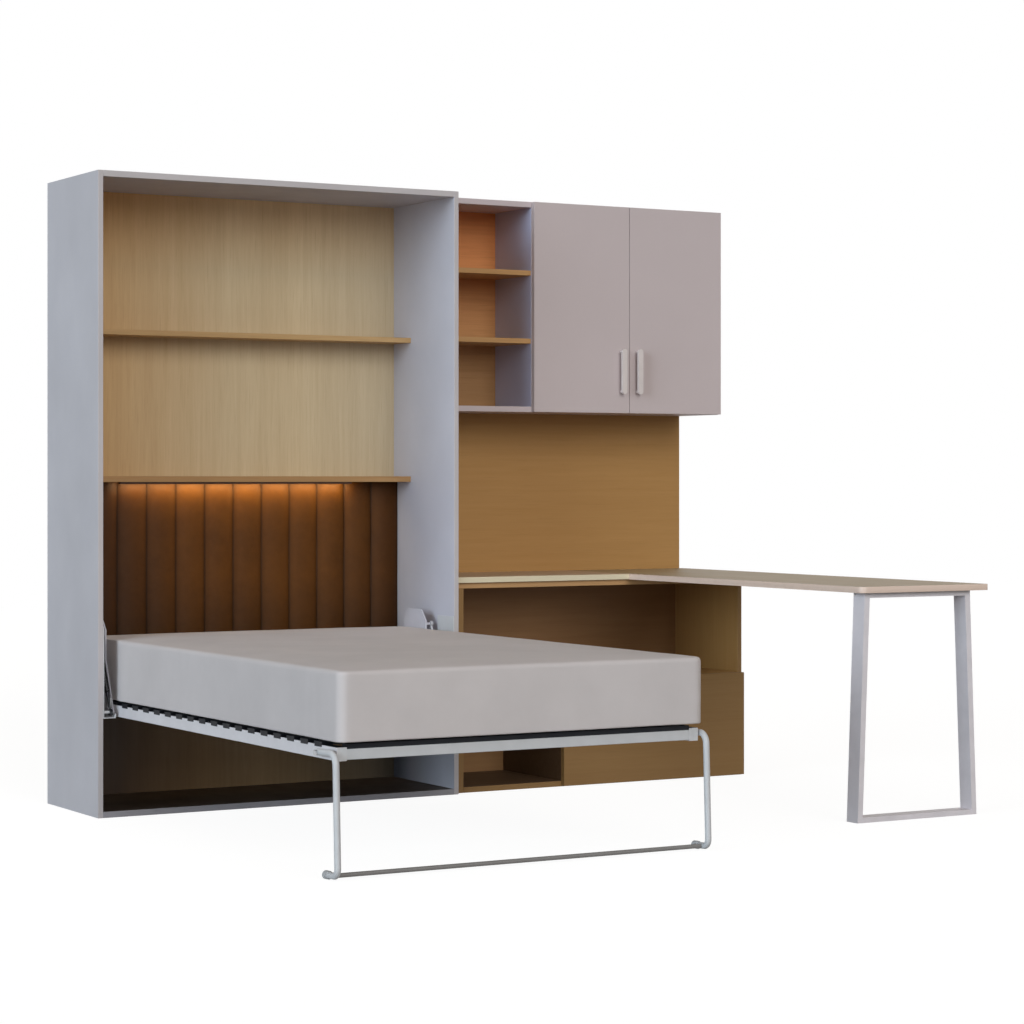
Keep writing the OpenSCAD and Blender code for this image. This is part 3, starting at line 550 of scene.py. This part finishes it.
def dressed(node, material, radius, edge):
    """A board or rail with eased edges and, where named, a banded edge or a dark strip on top,
    which is painted shade.
    """
    low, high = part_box(node)
    thin = min(range(3), key=lambda k: high[k] - low[k])
    bm = bmesh.new()
    bm.from_mesh(NODES[node].data)
    bmesh.ops.remove_doubles(bm, verts=bm.verts, dist=MERGE_DISTANCE)
    bm.normal_update()
    ease_edges(bm, radius)
    marked = []
    if edge:
        bm.normal_update()
        marked = [face for face in bm.faces if abs(face.normal[thin]) < 0.5]
    elif node in SHADE_STRIP_RAILS:
        marked = shade_strip_faces(bm, node, high.z, radius)
    for face in marked:
        face.material_index = 1
    mesh = bpy.data.meshes.new(node + "_skin")
    bm.to_mesh(mesh)
    bm.free()
    mesh.materials.append(M[material])
    if marked:
        mesh.materials.append(M[edge or "black_plastic"])
    piece = new_object(node + "_dressed", mesh)
    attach(piece, BODY_OF[node])
    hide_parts(node)


# ---------------------------------------------------------------- soft pieces

def grid_mesh(name, columns, rows, place):
    """A rectangular sheet of quads: place(i, j) gives each point."""
    verts = [place(i, j) for j in range(rows) for i in range(columns)]
    faces = []
    for j in range(rows - 1):
        for i in range(columns - 1):
            a = j * columns + i
            faces.append((a, a + 1, a + columns + 1, a + columns))
    mesh = bpy.data.meshes.new(name)
    mesh.from_pydata(verts, [], faces)
    return mesh


def covered(piece, material):
    """Smooths a soft piece and gives it its material."""
    for face in piece.data.polygons:
        face.use_smooth = True
    piece.data.materials.clear()
    piece.data.materials.append(M[material])


def applied(obj):
    """Turns an object's modifiers into its mesh."""
    graph = bpy.context.evaluated_depsgraph_get()
    mesh = bpy.data.meshes.new_from_object(obj.evaluated_get(graph))
    obj.modifiers.clear()
    obj.data = mesh


def swell(obj, pressure, frames, cap, pinned=None, bending=1.5):
    """Fills a cover by cloth simulation and caps how far a point may move."""
    scene = bpy.context.scene
    start = [v.co.copy() for v in obj.data.vertices]
    if pinned:
        group = obj.vertex_groups.new(name="pinned")
        group.add(pinned, 1.0, "REPLACE")
    cloth = obj.modifiers.new("Cloth", "CLOTH")
    settings = cloth.settings
    settings.quality = 6
    settings.mass = 0.3
    settings.tension_stiffness = 25
    settings.compression_stiffness = 25
    settings.shear_stiffness = 8
    settings.bending_stiffness = bending
    settings.use_pressure = True
    settings.uniform_pressure_force = pressure
    settings.effector_weights.gravity = 0
    cloth.collision_settings.use_collision = False
    cloth.collision_settings.use_self_collision = False
    cloth.point_cache.frame_start = 1
    cloth.point_cache.frame_end = frames
    if pinned:
        settings.vertex_group_mass = "pinned"
    for f in range(1, frames + 1):
        scene.frame_set(f)
    applied(obj)
    scene.frame_set(1)
    for v, rest in zip(obj.data.vertices, start):
        shift = v.co - rest
        if shift.length > cap:
            v.co = rest + shift.normalized() * cap


def subdivided(obj):
    sub = obj.modifiers.new("Subdivision", "SUBSURF")
    sub.levels = 1
    sub.render_levels = 1
    applied(obj)


def grid_lines(low, high, fine, step):
    """Positions across a span: close together near both ends, about step apart between."""
    inner = high - low - 2 * fine[-1]
    count = max(2, round(inner / step))
    middle = [low + fine[-1] + inner * k / count for k in range(1, count)]
    return [low + f for f in fine] + middle + [high - f for f in reversed(fine)]


# grid lines near the ends of a span, in corner radii
FINE_LINES = (0.0, 0.1, 0.25, 0.45, 0.7, 1.0, 1.5)


def box_grid(low, high, corner, step):
    """The six sides of a box as one closed grid, with closer lines near its edges."""
    fine = [corner * f for f in FINE_LINES]
    lines = [grid_lines(low[k], high[k], fine, step) for k in range(3)]
    last = [len(line) - 1 for line in lines]
    bm = bmesh.new()
    seen = {}

    def vert(key):
        if key not in seen:
            seen[key] = bm.verts.new([line[n] for line, n in zip(lines, key)])
        return seen[key]

    for across, p, q in ((2, 0, 1), (1, 0, 2), (0, 1, 2)):
        for a in range(last[p]):
            for b in range(last[q]):
                for side in (0, last[across]):
                    ring = []
                    for da, db in ((0, 0), (1, 0), (1, 1), (0, 1)):
                        key = [side] * 3
                        key[p], key[q] = a + da, b + db
                        ring.append(vert(tuple(key)))
                    bm.faces.new(ring)
    bmesh.ops.recalc_face_normals(bm, faces=bm.faces)
    return bm


def rounded_box(name, low, high, edges, corner, step):
    """A closed box of quads: edges = radius below and above, corner = radius seen from above."""
    bm = box_grid(low, high, corner, step)
    middle = (low.z + high.z) / 2
    for v in bm.verts:
        core = Vector((min(max(v.co.x, low.x + corner), high.x - corner),
                       min(max(v.co.y, low.y + corner), high.y - corner)))
        away = v.co.xy - core
        reach = max(abs(away.x), abs(away.y))
        side = away.normalized() if reach > 1e-9 else Vector((0, 0))
        upper = v.co.z > middle
        edge = edges[1] if upper else edges[0]
        over = reach - (corner - edge)
        rise = v.co.z - (high.z - edge) if upper else low.z + edge - v.co.z
        if over > 0 and rise > 0:
            k = max(over, rise) / math.hypot(over, rise)
            reach = corner - edge + over * k
            v.co.z = high.z - edge + rise * k if upper else low.z + edge - rise * k
        v.co.xy = core + side * reach
    mesh = bpy.data.meshes.new(name)
    bm.to_mesh(mesh)
    bm.free()
    return mesh


def stretched(piece, low, high):
    """Stretches a soft piece so that it just fills its box."""
    verts = piece.data.vertices
    for k in range(3):
        values = [v.co[k] for v in verts]
        a, b = min(values), max(values)
        scale = (high[k] - low[k]) / (b - a)
        for v in verts:
            v.co[k] = low[k] + (v.co[k] - a) * scale


# ---------------------------------------------------------------- mattress

MATTRESS_EDGES = (0.004, 0.014)
MATTRESS_CORNER = 0.030
MATTRESS_STEP = 0.045
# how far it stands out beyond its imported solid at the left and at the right
MATTRESS_OVERHANG = (0.017, 0.012)
# the span along the bed where it narrows to pass between the upright plates, and their gap
SQUEEZE_FROM, SQUEEZE_TO = 0.54, 0.60
PLATE_GAP = 0.0015
# the filling: what it starts smaller by, its pressure and frames, and the most a point moves
MATTRESS_SHRINK = 0.005
MATTRESS_PRESSURE = 4.0
MATTRESS_FRAMES = 20
MATTRESS_CAP = 0.006
# the crown, and how late it falls off toward the sides and toward the ends
MATTRESS_CROWN = 0.003
CROWN_ACROSS, CROWN_ALONG = 5, 9
# loose cloth: its depth in the sides and on top, and how far in the sides reach
SIDE_SLACK = 0.0008
TOP_SLACK = 0.0004
SIDE_REACH = 0.03


def crowned(piece, low, high, crown):
    """Lowers a soft piece's top toward its rim."""
    centre = (low + high) / 2
    half = (high - low) / 2
    for v in piece.data.vertices:
        if v.co.z > centre.z + half.z / 2:
            across = abs((v.co.x - centre.x) / half.x)
            along = abs((v.co.y - centre.y) / half.y)
            v.co.z -= crown * (1 - (1 - across ** CROWN_ACROSS) * (1 - along ** CROWN_ALONG))


def slackened(piece, low, high):
    """Shallow waves of loose cloth in the sides and on top."""
    centre = (low + high) / 2
    for v in piece.data.vertices:
        loose = noise.noise(Vector((v.co.x * 5, v.co.y * 5, v.co.z * 9)))
        inner = min(v.co.x - low.x, high.x - v.co.x, v.co.y - low.y, high.y - v.co.y)
        if inner < SIDE_REACH:
            out = Vector((v.co.x - centre.x, v.co.y - centre.y, 0))
            v.co -= out.normalized() * SIDE_SLACK * (1 + loose)
        elif v.co.z > centre.z:
            v.co.z -= TOP_SLACK * (1 + loose)


def squeezed(piece, low, high):
    """Narrows the head end to pass between the two upright plates."""
    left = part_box("bed_gusset_left")[1].x + PLATE_GAP
    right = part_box("bed_gusset_right")[0].x - PLATE_GAP
    for v in piece.data.vertices:
        squeeze = min(max((v.co.y - SQUEEZE_FROM) / (SQUEEZE_TO - SQUEEZE_FROM), 0), 1)
        v.co.x = max(v.co.x, low.x + (left - low.x) * squeeze)
        v.co.x = min(v.co.x, high.x + (right - high.x) * squeeze)


def make_mattress():
    """A soft block a little wider than its base, squeezed in between the two upright plates."""
    low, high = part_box("mattress")
    low.x -= MATTRESS_OVERHANG[0]
    high.x += MATTRESS_OVERHANG[1]
    shrink = Vector((MATTRESS_SHRINK, MATTRESS_SHRINK, MATTRESS_SHRINK))
    mesh = rounded_box("mattress_cover", low + shrink, high - shrink,
                       MATTRESS_EDGES, MATTRESS_CORNER, MATTRESS_STEP)
    piece = new_object("mattress_cover", mesh)
    swell(piece, MATTRESS_PRESSURE, MATTRESS_FRAMES, MATTRESS_CAP)
    stretched(piece, low, high)
    crowned(piece, low, high, MATTRESS_CROWN)
    slackened(piece, low, high)
    subdivided(piece)
    stretched(piece, low, high)
    squeezed(piece, low, high)
    covered(piece, "mattress_fabric")
    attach(piece, "bed")
    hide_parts("mattress")


# ---------------------------------------------------------------- headboard

# the grid's columns within one channel, from its seam on, and the rows up its height
CHANNEL_STEPS = (0.0, 0.02, 0.05, 0.09, 0.15, 0.24, 0.37, 0.5,
                 0.63, 0.76, 0.85, 0.91, 0.95, 0.98)
HEADBOARD_ROWS = 72
# a channel's full crown, the share of it that stands before the filling, and its roundness
CHANNEL_CROWN = 0.0125
START_CROWN = 0.85
CHANNEL_ROUNDNESS = 2.8
SEAM_DEPTH = 0.013
SEAM_WANDER = 0.003
# the filling: its pressure and frames, the cover's stiffness, and the rows it is evened over
HEADBOARD_PRESSURE = 1.5
HEADBOARD_FRAMES = 14
HEADBOARD_BENDING = 6.0
EVEN_ROWS = 6
RIM_ANGLE = math.radians(48)


def channel_point(i, j):
    """A point of the headboard's front before it fills: column i, row j."""
    low, high = HEADBOARD_LOW, HEADBOARD_HIGH
    per = len(CHANNEL_STEPS)
    phase = CHANNEL_STEPS[i % per]
    z = low.z + (high.z - low.z) * j / (HEADBOARD_ROWS - 1)
    fade = min(1.0, 0.9 + min(j, HEADBOARD_ROWS - 1 - j) / 10)
    fill = 1 - abs(2 * phase - 1) ** CHANNEL_ROUNDNESS
    seam_x = low.x + CHANNEL_PITCH * (i // per + round(phase))
    inside = 0 < i < CHANNELS * per
    drawn = SEAM_WANDER * noise.noise(Vector((seam_x, z * 6, 0))) if inside else 0
    return Vector((low.x + CHANNEL_PITCH * (i // per + phase) + drawn,
                   low.y + SEAM_DEPTH - START_CROWN * CHANNEL_CROWN * fill * fade, z))


def evened(piece, start, columns):
    """Averages how far the filling moved each point with its neighbours above and below."""
    verts = piece.data.vertices
    rows = len(verts) // columns
    shift = [v.co - rest for v, rest in zip(verts, start)]
    for i in range(columns):
        for j in range(1, rows - 1):
            reach = min(EVEN_ROWS, j, rows - 1 - j)
            near = [shift[k * columns + i] for k in range(j - reach, j + reach + 1)]
            verts[j * columns + i].co = start[j * columns + i] + sum(near, Vector()) / len(near)


def closed_behind(mesh, low, high):
    """Keeps a front sheet in its box and closes it with a rim and a flat back."""
    bm = bmesh.new()
    bm.from_mesh(mesh)
    for v in bm.verts:
        v.co.y = max(v.co.y, low.y)
    rim = [e for e in bm.edges if len(e.link_faces) == 1]
    for v in new_verts(bmesh.ops.extrude_edge_only(bm, edges=rim)):
        v.co.y = high.y
    back = [e for e in bm.edges if len(e.link_faces) == 1]
    bmesh.ops.contextual_create(bm, geom=back)
    bmesh.ops.recalc_face_normals(bm, faces=bm.faces)
    bm.to_mesh(mesh)
    bm.free()


def make_headboard():
    """Twelve upright channels, filled between pinned seams."""
    per = len(CHANNEL_STEPS)
    columns = CHANNELS * per + 1
    mesh = grid_mesh("headboard_cover", columns, HEADBOARD_ROWS, channel_point)
    piece = new_object("headboard_cover", mesh)
    start = [v.co.copy() for v in mesh.vertices]
    pinned = [j * columns + i for j in range(HEADBOARD_ROWS) for i in range(columns)
              if i % per == 0 or j in (0, HEADBOARD_ROWS - 1)]
    swell(piece, HEADBOARD_PRESSURE, HEADBOARD_FRAMES, (1 - START_CROWN) * CHANNEL_CROWN,
          pinned, HEADBOARD_BENDING)
    evened(piece, start, columns)
    closed_behind(piece.data, HEADBOARD_LOW, HEADBOARD_HIGH)
    covered(piece, "brown_leather")
    piece.data.set_sharp_from_angle(angle=RIM_ANGLE)
    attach(piece, "cabinet")
    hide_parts("headboard")


# ---------------------------------------------------------------- dressing

for node, looks in BOARDS.items():
    dressed(node, *looks)
make_mattress()
make_headboard()
for node, obj in NODES.items():
    if node in BOARDS or node in ("mattress", "headboard"):
        continue
    for k in range(len(obj.material_slots)):
        obj.material_slots[k].material = M[PLAIN.get(node, slot_of(node))]


# ---------------------------------------------------------------- stage

FLOOR_HALF = 14
FLOOR_DROP = 0.0005
FLOOR_ALBEDO = 0.18
FLOOR_GLOW = 0.93
SKY = (1.0, 0.8, 0.6)
SKY_STRENGTH = 0.19
WHITE = (1.0, 1.0, 1.0)
# name, degrees to the left of the front, degrees above the horizon, strength, spread, colour
SUNS = (
    ("key", 5, 20, 1.37, 35, (0.974, 1.0, 0.991)),
    ("side", 74, 11, 2.06, 36, (0.743, 0.892, 1.0)),
)
# the lamp at the light strip: power, colour, width, drop below the strip, turn to the wall
GLOW_POWER = 1.08
GLOW_COLOUR = (1.0, 0.80, 0.46)
GLOW_WIDTH = 0.012
GLOW_DROP = 0.004
GLOW_TURN = math.radians(50)
CAMERA_PLACE = (-4.4959, -7.63924, 1.1006)
CAMERA_TURN = (math.radians(90), 0, math.radians(-30.07))
CAMERA_LENS = 94.83
CAMERA_SENSOR = 36
CAMERA_SHIFT_Y = -0.03284


def through_camera(tree, plain, seen):
    """Mixes a shader for all rays with one that the camera, glossy and transmission rays see."""
    nodes, links = tree.nodes, tree.links
    path = nodes.new("ShaderNodeLightPath")
    share = path.outputs["Is Camera Ray"]
    for ray in ("Is Glossy Ray", "Is Transmission Ray"):
        most = nodes.new("ShaderNodeMath")
        most.operation = "MAXIMUM"
        links.new(share, most.inputs[0])
        links.new(path.outputs[ray], most.inputs[1])
        share = most.outputs[0]
    mixer = nodes.new("ShaderNodeMixShader")
    links.new(share, mixer.inputs[0])
    links.new(plain, mixer.inputs[1])
    links.new(seen, mixer.inputs[2])
    return mixer.outputs[0]


def make_world():
    """A dim warm sky that the camera sees as white."""
    world = bpy.data.worlds.new("studio")
    world.use_nodes = True
    tree = world.node_tree
    tree.nodes.clear()
    shaders = []
    for colour, strength in ((SKY, SKY_STRENGTH), (WHITE, 1.0)):
        light = tree.nodes.new("ShaderNodeBackground")
        light.inputs["Color"].default_value = (*colour, 1)
        light.inputs["Strength"].default_value = strength
        shaders.append(light.outputs[0])
    out = tree.nodes.new("ShaderNodeOutputWorld")
    tree.links.new(through_camera(tree, *shaders), out.inputs["Surface"])
    bpy.context.scene.world = world


def make_floor():
    """A plain floor that keeps the object's shadow and looks nearly white."""
    def corner(i, j):
        return Vector((FLOOR_HALF * (2 * i - 1), FLOOR_HALF * (2 * j - 1), -FLOOR_DROP))

    mesh = grid_mesh("floor", 2, 2, corner)
    floor = new_object("floor", mesh)
    material = bpy.data.materials.new("studio_floor")
    material.use_nodes = True
    tree = material.node_tree
    tree.nodes.clear()
    dull = tree.nodes.new("ShaderNodeBsdfDiffuse")
    dull.inputs["Color"].default_value = (FLOOR_ALBEDO, FLOOR_ALBEDO, FLOOR_ALBEDO, 1)
    lit = tree.nodes.new("ShaderNodeEmission")
    lit.inputs["Strength"].default_value = FLOOR_GLOW
    both = tree.nodes.new("ShaderNodeAddShader")
    tree.links.new(dull.outputs[0], both.inputs[0])
    tree.links.new(lit.outputs[0], both.inputs[1])
    out = tree.nodes.new("ShaderNodeOutputMaterial")
    seen = through_camera(tree, dull.outputs[0], both.outputs[0])
    tree.links.new(seen, out.inputs["Surface"])
    mesh.materials.append(material)


def make_sun(name, azimuth, elevation, strength, spread, colour):
    """A soft sun from the given side of the front and height above the horizon."""
    a, e = math.radians(azimuth), math.radians(elevation)
    toward = Vector((math.sin(a) * math.cos(e), math.cos(a) * math.cos(e), -math.sin(e)))
    lamp = bpy.data.lights.new(name, "SUN")
    lamp.energy = strength
    lamp.angle = math.radians(spread)
    lamp.color = colour
    new_object(name, lamp).rotation_euler = toward.to_track_quat("-Z", "Y").to_euler()


def make_strip_glow():
    """A weak warm lamp along the light strip, turned to the wall."""
    low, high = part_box("led_strip")
    glow = bpy.data.lights.new("strip_glow", "AREA")
    glow.shape = "RECTANGLE"
    glow.size = high.x - low.x
    glow.size_y = GLOW_WIDTH
    glow.energy = GLOW_POWER
    glow.color = GLOW_COLOUR
    lamp = new_object("strip_glow", glow)
    lamp.location = ((low.x + high.x) / 2, (low.y + high.y) / 2, low.z - GLOW_DROP)
    lamp.rotation_euler = (GLOW_TURN, 0, 0)


def make_camera():
    data = bpy.data.cameras.new("camera")
    data.sensor_width = CAMERA_SENSOR
    data.lens = CAMERA_LENS
    data.shift_x = 0
    data.shift_y = CAMERA_SHIFT_Y
    camera = new_object("camera", data)
    camera.location = CAMERA_PLACE
    camera.rotation_euler = CAMERA_TURN
    bpy.context.scene.camera = camera


make_world()
make_floor()
for sun in SUNS:
    make_sun(*sun)
make_strip_glow()
make_camera()
bpy.context.scene.view_settings.view_transform = "Standard"
